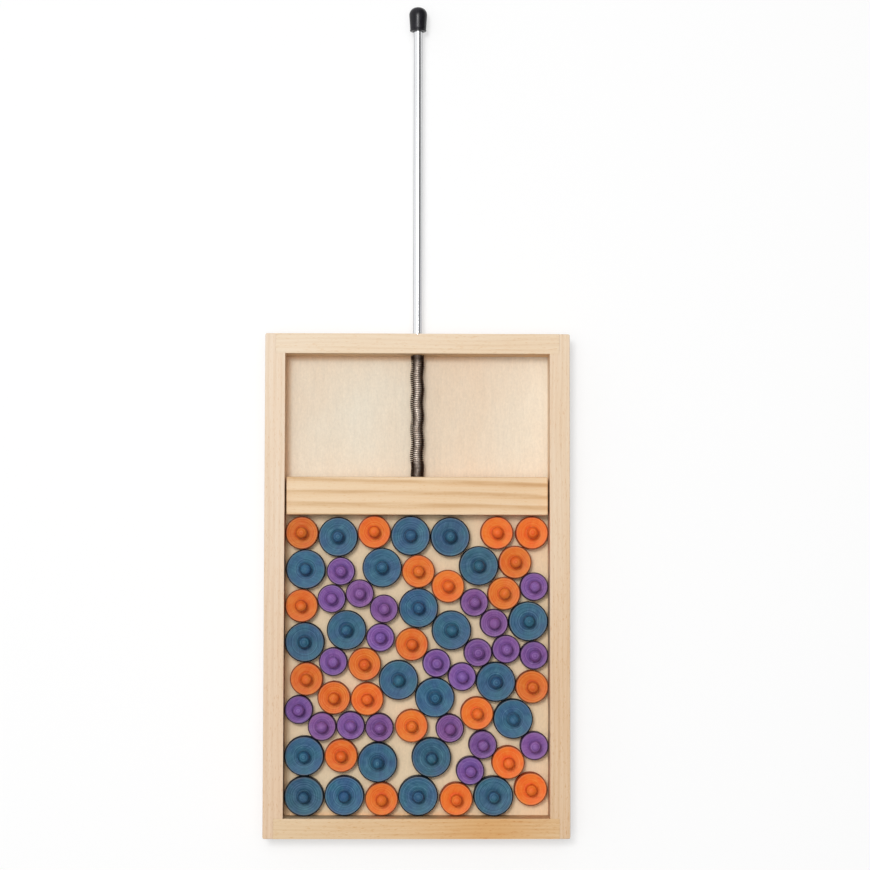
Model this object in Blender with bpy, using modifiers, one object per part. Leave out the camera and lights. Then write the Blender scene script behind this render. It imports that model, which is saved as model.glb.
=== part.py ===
"""Spring-press disc game: a shallow wooden tray in which a sprung bar squeezes turned discs together.

Players lift the knobbed discs out one by one and try not to let the bar jump.
The tray lies flat. +Z is up, +Y runs along the pull rod, and the origin is under the middle of the tray.
"""

import math
from dataclasses import dataclass
from itertools import combinations

import bmesh
import bpy

# Tray, in metres
FIELD_WIDTH = 0.160
RAIL_WIDTH = 0.012
RAIL_HEIGHT = 0.026
RAIL_EASING = 0.0006
CORNER_LAP = 0.006
PANEL_THICKNESS = 0.004
PANEL_LEDGE = 0.006

# Press bar
BAR_DEPTH = 0.023
BAR_HEIGHT = 0.018
BAR_EASING = 0.0012
BAR_END_GAP = 0.001
BAR_FRONT_WALL = 0.007

# Pull rod and the cap on its outer end
ROD_DIAMETER = 0.0052
ROD_REACH = 0.1875
CAP_DIAMETER = 0.011
CAP_LENGTH = 0.015
CAP_CROWN = 0.0035

# Compression spring round the rod, between the bar and the top rail
SPRING_BAY = 0.0745
SPRING_COILS = 62
SPRING_WIRE = 0.00055
SPRING_ROD_GAP = 0.0009
SPRING_SWAY = 0.0002
SPRING_WAVES = 4.7

# Turned discs, each with a ball knob on a neck
BLUE_DIAMETER = 0.0238
ORANGE_DIAMETER = 0.0198
PURPLE_DIAMETER = 0.017
DISC_THICKNESS = 0.010
DISH_DEPTH = 0.0008
KNOB_DIAMETER = 0.0072
KNOB_HEIGHT = 0.0115
NECK_DIAMETER = 0.005

# Web between two discs that share one solid
PAIRS_PER_COLOUR = 5
WEB_WIDTH = 0.003
WEB_HEIGHT = 0.004
WEB_RAISE = 0.002

# Clearance between pieces that touch
GAP = 0.0003

# Roundness
ROD_SIDES = 16
CAP_SIDES = 20
DISC_SIDES = 12
SPRING_POINTS = 8
SHARP_ANGLE = math.radians(40)
MERGE_DISTANCE = 0.00001

# Cap outline from the dome down to the lip, as shares of its radius and length
CAP_OUTLINE = [(0, 1), (0.55, 0.96), (0.9, 0.84), (1, 0.68), (0.94, 0.3), (0.86, 0.06), (0.8, 0)]

# Knob outline from its crown down to the top of its neck, as shares of its radius and height
KNOB_OUTLINE = [(0, 1), (0.74, 0.9), (1, 0.68), (0.7, 0.44)]

# Seating plan: where each disc lies, in steps of a grid from the lower left corner of the tray
PLAN_COLUMNS = 160
PLAN_ROWS = 181
PLAN_FILL = 0.744
BLUE_SEATS = [
    (31.5, 168.5), (76, 169), (100, 168.5), (12.5, 148.5), (58.5, 149.5), (117.5, 151),
    (81, 125.5), (147.5, 117.5), (37.5, 112), (101, 112), (12, 105.5), (69, 82),
    (128, 81), (91, 71.5), (138.5, 58.5), (12.5, 36), (56.5, 32.5), (89, 35.5),
    (12, 12), (36.5, 12.5), (81, 12.5), (126.5, 12.5),
]
ORANGE_SEATS = [
    (10, 170), (54, 171), (128.5, 171), (150, 171), (81, 147.5), (99, 138.5),
    (139.5, 153), (133, 134.5), (10, 127), (77, 103.5), (48.5, 91.5), (13.5, 82.5),
    (150, 78), (30, 71), (50, 70.5), (77, 54.5), (116.5, 62), (135.5, 32.5),
    (34.5, 36.5), (59, 10.5), (104, 10.5), (149, 16.5),
]
PURPLE_SEATS = [
    (34, 147.5), (151, 138.5), (28.5, 131), (45, 134.5), (60, 125), (114.5, 129),
    (127, 116), (58, 107.5), (29.5, 93), (92, 92), (107.5, 84), (117, 98.5),
    (134, 101), (151, 97), (9, 64), (22.5, 53.5), (40, 54.5), (57.5, 53.5),
    (100, 53), (120, 43), (151, 42.5), (112.5, 27.5),
]
SETTLE_ROUNDS = 4000
SETTLE_TOLERANCE = GAP / 100

# Colour, roughness and metallic value of each finish
FINISHES = {
    "frame_wood": ((0.82, 0.65, 0.45, 1), 0.6, 0),
    "panel_wood": ((0.80, 0.69, 0.53, 1), 0.65, 0),
    "bar_wood": ((0.86, 0.67, 0.40, 1), 0.55, 0),
    "rod_steel": ((0.75, 0.76, 0.78, 1), 0.2, 1),
    "cap_rubber": ((0.02, 0.018, 0.025, 1), 0.4, 0),
    "spring_steel": ((0.07, 0.05, 0.045, 1), 0.35, 1),
    "blue_stain": ((0.05, 0.16, 0.30, 1), 0.5, 0),
    "orange_stain": ((0.83, 0.20, 0.03, 1), 0.5, 0),
    "purple_stain": ((0.22, 0.10, 0.38, 1), 0.5, 0),
}


@dataclass
class Disc:
    """A disc of the seating plan and the place where it settles, from the tray's lower left inner corner."""

    colour: str
    radius: float
    seat: tuple
    x: float
    y: float


def planned_discs():
    """Place every disc by the plan, with the rows spread to suit the area that the discs take up."""
    groups = [
        ("blue", BLUE_DIAMETER / 2, BLUE_SEATS),
        ("orange", ORANGE_DIAMETER / 2, ORANGE_SEATS),
        ("purple", PURPLE_DIAMETER / 2, PURPLE_SEATS),
    ]
    area = sum(math.pi * radius ** 2 * len(seats) for _, radius, seats in groups)
    column_step = FIELD_WIDTH / PLAN_COLUMNS
    row_step = area / (PLAN_FILL * FIELD_WIDTH) / PLAN_ROWS
    discs = []
    for colour, radius, seats in groups:
        for seat in seats:
            discs.append(Disc(colour, radius, seat, seat[0] * column_step, seat[1] * row_step))
    return discs


def push_apart(first, second):
    """Part two discs that are closer than their clearance, and return how much too close they were."""
    reach = first.radius + second.radius + GAP
    across = second.x - first.x
    along = second.y - first.y
    if abs(across) >= reach or abs(along) >= reach:
        return 0
    distance = math.hypot(across, along)
    overlap = reach - distance
    if overlap <= 0:
        return 0
    share = overlap / distance / 2
    first.x -= across * share
    first.y -= along * share
    second.x += across * share
    second.y += along * share
    return overlap


def keep_inside(disc):
    """Hold a disc clear of the side rails and the bottom rail."""
    margin = disc.radius + GAP
    disc.x = min(max(disc.x, margin), FIELD_WIDTH - margin)
    disc.y = max(disc.y, margin)


def settled_discs():
    """Let the planned discs shoulder each other aside until all of them have their clearance."""
    discs = planned_discs()
    for _ in range(SETTLE_ROUNDS):
        worst = max(push_apart(first, second) for first, second in combinations(discs, 2))
        for disc in discs:
            keep_inside(disc)
        if worst < SETTLE_TOLERANCE:
            break
    return discs


def paired(discs):
    """Split the discs of one colour into the closest neighbours, two by two, and the rest."""
    by_distance = sorted(combinations(discs, 2), key=lambda two: math.dist(two[0].seat, two[1].seat))
    pairs = []
    taken = []
    for first, second in by_distance:
        if len(pairs) < PAIRS_PER_COLOUR and first not in taken and second not in taken:
            pairs.append((first, second))
            taken += [first, second]
    return pairs, [disc for disc in discs if disc not in taken]


# Places worked out from the sizes, with y measured from the middle of the tray
DISCS = settled_discs()
STACK_LENGTH = max(disc.y + disc.radius for disc in DISCS)
INNER_LENGTH = STACK_LENGTH + GAP + BAR_DEPTH + SPRING_BAY
OUTER_WIDTH = FIELD_WIDTH + 2 * RAIL_WIDTH
OUTER_LENGTH = INNER_LENGTH + 2 * RAIL_WIDTH
FLOOR_Z = PANEL_THICKNESS
SEAT_Z = FLOOR_Z + GAP
BAR_Y = STACK_LENGTH + GAP + BAR_DEPTH / 2 - INNER_LENGTH / 2
BAR_TOP_Y = BAR_Y + BAR_DEPTH / 2
RAIL_INNER_Y = INNER_LENGTH / 2
ROD_Z = SEAT_Z + BAR_HEIGHT / 2
SOCKET_END_Y = BAR_Y - BAR_DEPTH / 2 + BAR_FRONT_WALL
CAP_Y = OUTER_LENGTH / 2 + ROD_REACH
CAP_SOCKET = CAP_LENGTH - CAP_CROWN
ROD_START_Y = SOCKET_END_Y + GAP
ROD_END_Y = CAP_Y + CAP_SOCKET - GAP
BORE_RADIUS = ROD_DIAMETER / 2 + GAP
CUT_MARGIN = RAIL_WIDTH


def clear_scene():
    for obj in list(bpy.data.objects):
        bpy.data.objects.remove(obj, do_unlink=True)


def new_collection(name):
    collection = bpy.data.collections.new(name)
    bpy.context.scene.collection.children.link(collection)
    return collection


def new_material(name):
    colour, roughness, metallic = FINISHES[name]
    material = bpy.data.materials.new(name)
    material.use_nodes = True
    shader = material.node_tree.nodes["Principled BSDF"]
    shader.inputs["Base Color"].default_value = colour
    shader.inputs["Roughness"].default_value = roughness
    shader.inputs["Metallic"].default_value = metallic
    return material


def add_object(name, data, place, material=None):
    """Add a part with a finish, or a cutter when no finish is given."""
    obj = bpy.data.objects.new(name, data)
    obj.location = place
    if material:
        data.materials.append(MATERIALS[material])
        PARTS.objects.link(obj)
    else:
        CUTTERS.objects.link(obj)
        obj.hide_render = True
        obj.display_type = "WIRE"
    return obj


def add_empty(name, place):
    empty = bpy.data.objects.new(name, None)
    empty.location = place
    PARTS.objects.link(empty)
    return empty


def attach(obj, empty):
    """Parent an object that is already placed in the world to an empty that isn't turned."""
    obj.location = obj.location - empty.location
    obj.parent = empty


def box_mesh(name, size):
    mesh = bpy.data.meshes.new(name)
    shape = bmesh.new()
    bmesh.ops.create_cube(shape, size=1)
    bmesh.ops.scale(shape, vec=size, verts=shape.verts)
    shape.to_mesh(mesh)
    shape.free()
    return mesh


def add_box(name, size, place, material=None, easing=0):
    obj = add_object(name, box_mesh(name, size), place, material)
    if easing:
        bevel = obj.modifiers.new("eased edges", "BEVEL")
        bevel.width = easing
        bevel.segments = 1
    return obj


def add_bar_cylinder(name, radius, start_y, end_y, material=None):
    """A round bar along the rod's axis."""
    mesh = bpy.data.meshes.new(name)
    shape = bmesh.new()
    bmesh.ops.create_cone(
        shape, cap_ends=True, segments=ROD_SIDES, radius1=radius, radius2=radius, depth=end_y - start_y
    )
    shape.to_mesh(mesh)
    shape.free()
    mesh.shade_smooth()
    mesh.set_sharp_from_angle(angle=SHARP_ANGLE)
    obj = add_object(name, mesh, (0, (start_y + end_y) / 2, ROD_Z), material)
    obj.rotation_euler = (-math.pi / 2, 0, 0)
    return obj


def add_turned(name, outline, sides, place, material=None):
    """Turn an outline of (radius, height) points, from the top down the outer side, about its own Z axis."""
    mesh = bpy.data.meshes.new(name)
    points = [(radius, 0, height) for radius, height in outline]
    mesh.from_pydata(points, [(i, i + 1) for i in range(len(points) - 1)], [])
    obj = add_object(name, mesh, place, material)
    screw = obj.modifiers.new("turned", "SCREW")
    screw.steps = sides
    screw.render_steps = sides
    screw.use_merge_vertices = True
    screw.merge_threshold = MERGE_DISTANCE
    screw.use_smooth_shade = True
    return obj


def combine(obj, other, operation):
    boolean = obj.modifiers.new(operation.lower() + " " + other.name, "BOOLEAN")
    boolean.operation = operation
    boolean.solver = "EXACT"
    boolean.object = other


def make_tray():
    """Four rails lapped at the corners, round a panel let into their undersides."""
    tray = add_empty("tray", (0, 0, 0))
    ledge = 2 * PANEL_LEDGE
    panel_size = (FIELD_WIDTH + ledge - 2 * GAP, INNER_LENGTH + ledge - 2 * GAP, PANEL_THICKNESS)
    panel = add_box("base_panel", panel_size, (0, 0, PANEL_THICKNESS / 2), "panel_wood")
    pocket_size = (FIELD_WIDTH + ledge, INNER_LENGTH + ledge, 2 * (PANEL_THICKNESS + GAP))
    pocket = add_box("panel_pocket", pocket_size, (0, 0, 0))
    rail_z = RAIL_HEIGHT / 2
    lap = RAIL_WIDTH - CORNER_LAP
    end_length = FIELD_WIDTH + 2 * lap - 2 * GAP
    pieces = [panel]
    laps = []
    for name, side in (("top", 1), ("bottom", -1)):
        place = (0, side * (RAIL_INNER_Y + RAIL_WIDTH / 2), rail_z)
        rail = add_box(name + "_rail", (end_length, RAIL_WIDTH, RAIL_HEIGHT), place, "frame_wood", RAIL_EASING)
        combine(rail, pocket, "DIFFERENCE")
        pieces.append(rail)
        lap_size = (end_length + 2 * GAP, RAIL_WIDTH + 2 * CUT_MARGIN, RAIL_HEIGHT + 2 * CUT_MARGIN)
        lap_place = (0, side * (RAIL_INNER_Y - GAP + lap_size[1] / 2), rail_z)
        laps.append(add_box(name + "_lap", lap_size, lap_place))
    bore_end = RAIL_INNER_Y + RAIL_WIDTH + CUT_MARGIN
    bore = add_bar_cylinder("rail_bore", BORE_RADIUS, RAIL_INNER_Y - CUT_MARGIN, bore_end)
    combine(bpy.data.objects["top_rail"], bore, "DIFFERENCE")
    for name, side in (("left", -1), ("right", 1)):
        place = (side * (FIELD_WIDTH + RAIL_WIDTH) / 2, 0, rail_z)
        rail = add_box(name + "_rail", (RAIL_WIDTH, OUTER_LENGTH, RAIL_HEIGHT), place, "frame_wood", RAIL_EASING)
        for cutter in [pocket] + laps:
            combine(rail, cutter, "DIFFERENCE")
        pieces.append(rail)
    for piece in pieces:
        attach(piece, tray)
    return tray


def make_plunger(tray):
    """The press bar, the rod that pulls it and the rod's cap, on an empty on the rod's axis."""
    plunger = add_empty("plunger", (0, BAR_Y, ROD_Z))
    bar_size = (FIELD_WIDTH - 2 * BAR_END_GAP, BAR_DEPTH, BAR_HEIGHT)
    bar = add_box("press_bar", bar_size, (0, BAR_Y, ROD_Z), "bar_wood", BAR_EASING)
    socket = add_bar_cylinder("bar_socket", BORE_RADIUS, SOCKET_END_Y, BAR_TOP_Y + CUT_MARGIN)
    combine(bar, socket, "DIFFERENCE")
    rod = add_bar_cylinder("pull_rod", ROD_DIAMETER / 2, ROD_START_Y, ROD_END_Y, "rod_steel")
    outline = [(CAP_DIAMETER / 2 * out, CAP_LENGTH * up) for out, up in CAP_OUTLINE]
    outline += [(BORE_RADIUS, 0), (BORE_RADIUS, CAP_SOCKET), (0, CAP_SOCKET)]
    cap = add_turned("rod_cap", outline, CAP_SIDES, (0, CAP_Y, ROD_Z), "cap_rubber")
    cap.rotation_euler = (-math.pi / 2, 0, 0)
    for piece in (bar, rod, cap):
        attach(piece, plunger)
    attach(plunger, tray)


def spring_points():
    """Points of a helix along +Y whose axis sways round the rod, with a short straight run at each end."""
    radius = (ROD_DIAMETER / 2 + SPRING_ROD_GAP + SPRING_WIRE / 2) / math.cos(math.pi / SPRING_POINTS)
    start = BAR_TOP_Y + GAP
    end = RAIL_INNER_Y - GAP
    wound_start = start + SPRING_WIRE
    wound_length = end - SPRING_WIRE - wound_start
    steps = SPRING_COILS * SPRING_POINTS
    points = [(radius, start, ROD_Z)]
    for step in range(steps + 1):
        share = step / steps
        turn = 2 * math.pi * step / SPRING_POINTS
        wave = 2 * math.pi * SPRING_WAVES * share
        sway = SPRING_SWAY * math.sin(math.pi * share)
        x = radius * math.cos(turn) + sway * math.cos(wave)
        z = ROD_Z + radius * math.sin(turn) + sway * math.sin(wave)
        points.append((x, wound_start + wound_length * share, z))
    points.append((radius, end, ROD_Z))
    return points


def least_coil_gap(points):
    """The smallest gap between the wire of one curl and the wire of the next two."""
    gaps = []
    for i, point in enumerate(points):
        for other in points[i + SPRING_POINTS // 2:i + 2 * SPRING_POINTS]:
            gaps.append(math.dist(point, other) - SPRING_WIRE)
    return min(gaps)


def make_spring(tray):
    points = spring_points()
    print("least gap between the spring's curls: %.2f mm" % (least_coil_gap(points) * 1000))
    curve = bpy.data.curves.new("spring", "CURVE")
    curve.dimensions = "3D"
    curve.bevel_depth = SPRING_WIRE / 2
    curve.bevel_resolution = 1
    curve.use_fill_caps = True
    wire = curve.splines.new("POLY")
    wire.points.add(len(points) - 1)
    for target, point in zip(wire.points, points):
        target.co = (*point, 1)
    spring = add_object("spring", curve, (0, 0, 0), "spring_steel")
    attach(spring, tray)


def disc_outline(radius):
    """A disc with a dished face and a ball knob, from the knob's crown down to the foot."""
    face = DISC_THICKNESS - DISH_DEPTH
    knob = [(KNOB_DIAMETER / 2 * out, face + KNOB_HEIGHT * up) for out, up in KNOB_OUTLINE]
    return knob + [(NECK_DIAMETER / 2, face), (radius, DISC_THICKNESS), (radius, 0), (0, 0)]


def disc_place(disc):
    return (disc.x - FIELD_WIDTH / 2, disc.y - INNER_LENGTH / 2, SEAT_Z)


def add_disc(name, disc, material=None):
    return add_turned(name, disc_outline(disc.radius), DISC_SIDES, disc_place(disc), material)


def add_disc_pair(name, first, second, material):
    """Two neighbouring discs in one solid, held together by a low web between their feet."""
    pair = add_disc(name, first, material)
    other = add_disc(name + "_second", second)
    start, end = disc_place(first), disc_place(second)
    length = math.dist(start, end)
    middle = ((start[0] + end[0]) / 2, (start[1] + end[1]) / 2, SEAT_Z + WEB_RAISE + WEB_HEIGHT / 2)
    web = add_box(name + "_web", (length, WEB_WIDTH, WEB_HEIGHT), middle)
    web.rotation_euler = (0, 0, math.atan2(end[1] - start[1], end[0] - start[0]))
    combine(pair, web, "UNION")
    combine(pair, other, "UNION")
    return pair


def make_discs(tray):
    for colour in ("blue", "orange", "purple"):
        material = colour + "_stain"
        pairs, singles = paired([disc for disc in DISCS if disc.colour == colour])
        for number, disc in enumerate(singles, 1):
            attach(add_disc("%s_disc_%02d" % (colour, number), disc, material), tray)
        for number, (first, second) in enumerate(pairs, 1):
            attach(add_disc_pair("%s_pair_%d" % (colour, number), first, second, material), tray)


clear_scene()
PARTS = new_collection("spring_press_disc_game")
CUTTERS = new_collection("cutters")
MATERIALS = {name: new_material(name) for name in FINISHES}
tray_empty = make_tray()
make_plunger(tray_empty)
make_spring(tray_empty)
make_discs(tray_empty)
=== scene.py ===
"""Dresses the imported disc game: a wooden tray, a sprung press bar on a steel rod, and 66 turned discs.

Lengths are in metres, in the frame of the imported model: +Z is up and +Y runs along the pull rod.
"""

import math
import random
from collections import namedtuple

import bpy
from mathutils import Matrix, Vector


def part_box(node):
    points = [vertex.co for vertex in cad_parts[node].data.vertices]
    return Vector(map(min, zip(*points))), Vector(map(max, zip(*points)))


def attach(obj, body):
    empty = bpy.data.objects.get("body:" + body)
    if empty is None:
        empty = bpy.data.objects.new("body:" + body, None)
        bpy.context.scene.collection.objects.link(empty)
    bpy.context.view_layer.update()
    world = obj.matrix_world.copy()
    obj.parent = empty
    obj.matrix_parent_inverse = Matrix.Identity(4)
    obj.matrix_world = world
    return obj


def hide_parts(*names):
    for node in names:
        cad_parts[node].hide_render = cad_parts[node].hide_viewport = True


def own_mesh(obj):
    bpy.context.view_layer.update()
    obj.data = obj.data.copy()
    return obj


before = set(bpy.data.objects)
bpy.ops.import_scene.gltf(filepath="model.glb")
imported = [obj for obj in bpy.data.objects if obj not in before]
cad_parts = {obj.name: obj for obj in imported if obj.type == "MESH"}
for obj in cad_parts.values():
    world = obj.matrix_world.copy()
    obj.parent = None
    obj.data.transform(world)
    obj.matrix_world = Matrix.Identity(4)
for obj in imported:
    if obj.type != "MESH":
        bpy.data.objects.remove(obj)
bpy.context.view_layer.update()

MM = 0.001
RANDOM_SEED = 66
scene = bpy.context.scene
rng = random.Random(RANDOM_SEED)

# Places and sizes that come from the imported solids
panel_low, panel_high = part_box("base_panel")
right_low, right_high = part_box("right_rail")
top_low, top_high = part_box("top_rail")
bar_low, bar_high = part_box("press_bar")
rod_low, rod_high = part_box("pull_rod")
cap_low, cap_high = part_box("rod_cap")
FLOOR_Z = panel_high.z
RAIL_TOP = right_high.z
IN_X, IN_Y = right_low.x, top_low.y
OUT_X, OUT_Y = right_high.x, right_high.y
LAP_X = top_high.x
ROD_Z = (rod_low.z + rod_high.z) / 2
ROD_RADIUS = (rod_high.x - rod_low.x) / 2

# Looseness of the dressed pieces: what lies on the panel touches it, and seams are tight
REST_GAP = 0.03 * MM
SEAM_GAP = 0.02 * MM
BORE_GAP = 0.15 * MM


def colour(red, green, blue):
    """A screen colour of 0 to 255 as a shader's linear colour, by the standard screen curve."""
    shares = [value / 255 for value in (red, green, blue)]
    linear = [s / 12.92 if s <= 0.04045 else ((s + 0.055) / 1.055) ** 2.4 for s in shares]
    return (*linear, 1)


# Shader nodes: most helpers add the nodes of one step and return the step's output

def fill(tree, made, inputs):
    """Give a node its inputs, each a value or the output of another node."""
    for socket, value in inputs.items():
        if isinstance(value, bpy.types.NodeSocket):
            tree.links.new(value, made.inputs[socket])
        else:
            made.inputs[socket].default_value = value


def node(tree, kind, inputs=None, **settings):
    made = tree.nodes.new("ShaderNode" + kind)
    for name, value in settings.items():
        setattr(made, name, value)
    fill(tree, made, inputs or {})
    return made


def calc(tree, operation, *values):
    return node(tree, "Math", dict(enumerate(values)), operation=operation).outputs[0]


def remap(tree, value, from_low, from_high, to_low, to_high):
    """Carry a value smoothly from one range to another, held at both ends."""
    inputs = {0: value, 1: from_low, 2: from_high, 3: to_low, 4: to_high}
    return node(tree, "MapRange", inputs, interpolation_type="SMOOTHSTEP").outputs[0]


def rise(tree, value, low, high):
    """From 0 up to 1 as a value goes from low to high."""
    return remap(tree, value, low, high, 0.0, 1.0)


def fall(tree, value, low, high):
    """From 1 down to 0 as a value goes from low to high."""
    return remap(tree, value, low, high, 1.0, 0.0)


def split(tree, vector):
    return node(tree, "SeparateXYZ", {0: vector}).outputs


def joined(tree, x, y, z):
    return node(tree, "CombineXYZ", {0: x, 1: y, 2: z}).outputs[0]


def distance(tree, x, y):
    """How far a point lies from the origin of two coordinates."""
    squares = calc(tree, "ADD", calc(tree, "POWER", x, 2), calc(tree, "POWER", y, 2))
    return calc(tree, "SQRT", squares)


def noise(tree, axes, scales, detail=2, roughness=0.5, seed=0):
    """A cloudy pattern round one half, with a scale of its own along each axis."""
    place = joined(tree, *[calc(tree, "MULTIPLY", axis, scale) for axis, scale in zip(axes, scales)])
    inputs = {"Vector": place, "W": seed, "Scale": 1, "Detail": detail, "Roughness": roughness}
    return node(tree, "TexNoise", inputs, noise_dimensions="4D").outputs["Fac"]


def line_noise(tree, place, detail):
    """Uneven bands along one coordinate."""
    inputs = {"W": place, "Scale": 1, "Detail": detail}
    return node(tree, "TexNoise", inputs, noise_dimensions="1D").outputs["Fac"]


def swayed(tree, level, *patterns):
    """A level moved up and down by pairs of a pattern, which lies round one half, and its weight."""
    level -= sum(weight for _, weight in patterns) / 2
    for pattern, weight in patterns:
        level = calc(tree, "MULTIPLY_ADD", pattern, weight, level)
    return level


def mixed(tree, share, first, second, blend="MIX"):
    """Two colours mixed: the node's sockets 6 and 7 are its colours, and its output 2 is the result."""
    inputs = {0: share, 6: first, 7: second}
    made = node(tree, "Mix", inputs, data_type="RGBA", blend_type=blend, clamp_factor=True)
    return made.outputs[2]


def between(tree, share, first, second):
    """A number between two others: the node's sockets 2 and 3 are its numbers."""
    return node(tree, "Mix", {0: share, 2: first, 3: second}).outputs[0]


def shaded(tree, base, level):
    """A colour made lighter or darker by a level round 1."""
    return mixed(tree, 1.0, base, joined(tree, level, level, level), "MULTIPLY")


def deepened(tree, base, depth):
    """A colour made deeper and richer by a depth over 1, or paler by one under 1."""
    return node(tree, "Gamma", {0: base, 1: depth}).outputs[0]


def bump(tree, height, strength, depth):
    return node(tree, "Bump", {"Strength": strength, "Distance": depth, "Height": height}).outputs[0]


def new_material(name):
    material = bpy.data.materials.new(name)
    material.use_nodes = True
    tree = material.node_tree
    return material, tree, tree.nodes["Principled BSDF"]


def object_place(tree):
    return split(tree, node(tree, "TexCoord").outputs["Object"])


def below(level, band):
    """The two ends of a band that is given by its distances below a level."""
    return [level - drop for drop in band]


# Ranges that hold most of a pattern's values, and the roughness of patterns with fine detail
MOST = (0.3, 0.7)
NEARLY_ALL = (0.25, 0.75)
FINE = 0.6
FINER = 0.65

# Wood: scales along the grain, across it and up, and how much each pattern deepens the tone
DRIFT_SCALES = (9, 60, 60)
BREAK_SCALES = (22, 330, 330)
FIBRE_SCALES = (55, 1900, 1900)
CLOUD_SCALES = (14, 70, 70)
STREAK_SCALES = (9, 520, 520)
PORE_SCALES = (330, 2600, 2600)
FIBRE_DEPTH = 0.45
CLOUD_DEPTH = 0.35
STREAK_DEPTH = 0.36

# Wood: a ring's course from 0 to 1, how its dark line breaks up, and what it does to the tone
WOOD_DRIFT = 4.5 * MM
RING_RISE = (0.1, 0.7)
RING_POWER = 2.2
RING_FALL = (0.74, 0.98)
DARK_IN_RING = 0.72
BREAK_RANGE = (0.3, 0.66)
BREAK_LEVELS = (0.35, 1.15)
RING_SHADE = 0.2

# Wood: pores, the painted shade on the sides, the far end where the tone goes back, and the finish
PORE_EDGE = (0.60, 0.72)
PORE_DIP = 0.3
SIDE_SHADE_FULL = 2.5 * MM
SIDE_SHADE_NONE = 0.4 * MM
END_START = 0.4
END_FULL = 0.95
WOOD_ROUGHNESS = (0.62, 0.46)
WOOD_BUMP = (0.25, 0.06 * MM)
WOOD_SPECULAR = 0.2


def wood_material(name, along, reach, top, pith, ring, contrast, start, end, side_shade,
                  slant=0.0, phase=0.0, flecks=0.5, seed=0, end_fade=0.0):
    """Solid wood whose growth rings circle a pith line that runs along X or Y beside the board.

    A ring deepens slowly into a broken line of late wood and fades more quickly into the next ring.
    The tone drifts from start to end along the board, and end_fade takes it part of the way back.
    The sides are darker below the sanded top: painted shade.
    """
    material, tree, shader = new_material(name)
    x, y, z = object_place(tree)
    run, across = (x, y) if along == "X" else (y, x)
    axes = (run, across, z)
    drift = noise(tree, axes, DRIFT_SCALES, seed=seed)
    broken = noise(tree, axes, BREAK_SCALES, detail=3, roughness=FINE, seed=seed + 13)
    fibre = noise(tree, axes, FIBRE_SCALES, detail=3, roughness=FINE, seed=seed + 3)
    cloud = noise(tree, axes, CLOUD_SCALES, seed=seed + 5)
    streak = noise(tree, axes, STREAK_SCALES, detail=3, roughness=FINE, seed=seed + 9)
    pore = rise(tree, noise(tree, axes, PORE_SCALES, detail=1, seed=seed + 7), *PORE_EDGE)

    wander = calc(tree, "MULTIPLY_ADD", drift, WOOD_DRIFT, calc(tree, "MULTIPLY", run, slant))
    aside = calc(tree, "SUBTRACT", across, pith[0])
    above = calc(tree, "SUBTRACT", z, pith[1])
    from_pith = calc(tree, "ADD", distance(tree, aside, above), wander)
    cycle = calc(tree, "FRACT", calc(tree, "MULTIPLY_ADD", from_pith, 1 / ring, phase))
    late = calc(tree, "POWER", rise(tree, cycle, *RING_RISE), RING_POWER)
    rings = calc(tree, "MULTIPLY", late, fall(tree, cycle, *RING_FALL))
    rings = calc(tree, "MULTIPLY", rings, remap(tree, broken, *BREAK_RANGE, *BREAK_LEVELS))

    depth = swayed(tree, 1.0, (streak, STREAK_DEPTH), (fibre, FIBRE_DEPTH), (cloud, CLOUD_DEPTH))
    depth = calc(tree, "MULTIPLY_ADD", rings, contrast, depth)
    depth = calc(tree, "MULTIPLY_ADD", pore, flecks, depth)
    # Painted shade on the sides, below the top
    depth = calc(tree, "ADD", depth, remap(tree, z, top - SIDE_SHADE_FULL, top - SIDE_SHADE_NONE, side_shade, 0.0))
    gone_back = remap(tree, run, END_START * reach, END_FULL * reach, 0.0, end_fade)
    share = calc(tree, "SUBTRACT", rise(tree, run, -reach, reach), gone_back)
    tone = mixed(tree, share, start, end)
    tone = shaded(tree, tone, calc(tree, "MULTIPLY_ADD", rings, -RING_SHADE * contrast, 1.0))
    relief = calc(tree, "SUBTRACT", fibre, calc(tree, "MULTIPLY", pore, PORE_DIP))
    fill(tree, shader, {
        "Base Color": deepened(tree, tone, depth),
        "Roughness": remap(tree, fibre, *NEARLY_ALL, *WOOD_ROUGHNESS),
        "Normal": bump(tree, relief, *WOOD_BUMP),
        "Specular IOR Level": WOOD_SPECULAR,
    })
    return material


# Panel: scales along X, Y and Z, and how much each pattern lightens or darkens the wood
PANEL_CLOUD_SCALES = (46, 22, 46)
VEIN_SCALES = (420, 60, 420)
PANEL_FIBRE_SCALES = (1700, 240, 1700)
MOTTLE_SCALES = (900, 600, 900)
VEIN_LEVEL = 0.17
PANEL_FIBRE_LEVEL = 0.1
MOTTLE_LEVEL = 0.22

# Panel: pale and warm wood, painted warm bounce light under the discs, the warm blush that comes and goes
# from left to right, and rare specks
PANEL_PALE = colour(234, 224, 205)
PANEL_WARM = colour(234, 211, 184)
PANEL_DISC_BOUNCE = colour(237, 213, 178)
BLUSH_LESS = 0.3
BLUSH_COMES = (-0.03, 0.02)
BLUSH_MORE = 0.55
BLUSH_GOES = 0.03
BLUSH_FADE = 0.65
SPECK_SCALE = 42
SPECK_EDGE = (0.010, 0.022)
SPECK_DEPTH = 0.3
SPECK_RARITY = 0.82

# Panel: painted warm shade along the walls, and the finish
WALL_SHADE = colour(245, 194, 139)
WALL_SHADE_DRIFT = 1.5 * MM
WALL_SHADE_EDGE = (0.5 * MM, 5 * MM)
WALL_SHADE_SHARE = 0.55
WALL_SHADE_END = 0.8
PANEL_ROUGHNESS = (0.7, 0.55)
PANEL_BUMP = (0.2, 0.04 * MM)


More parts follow.
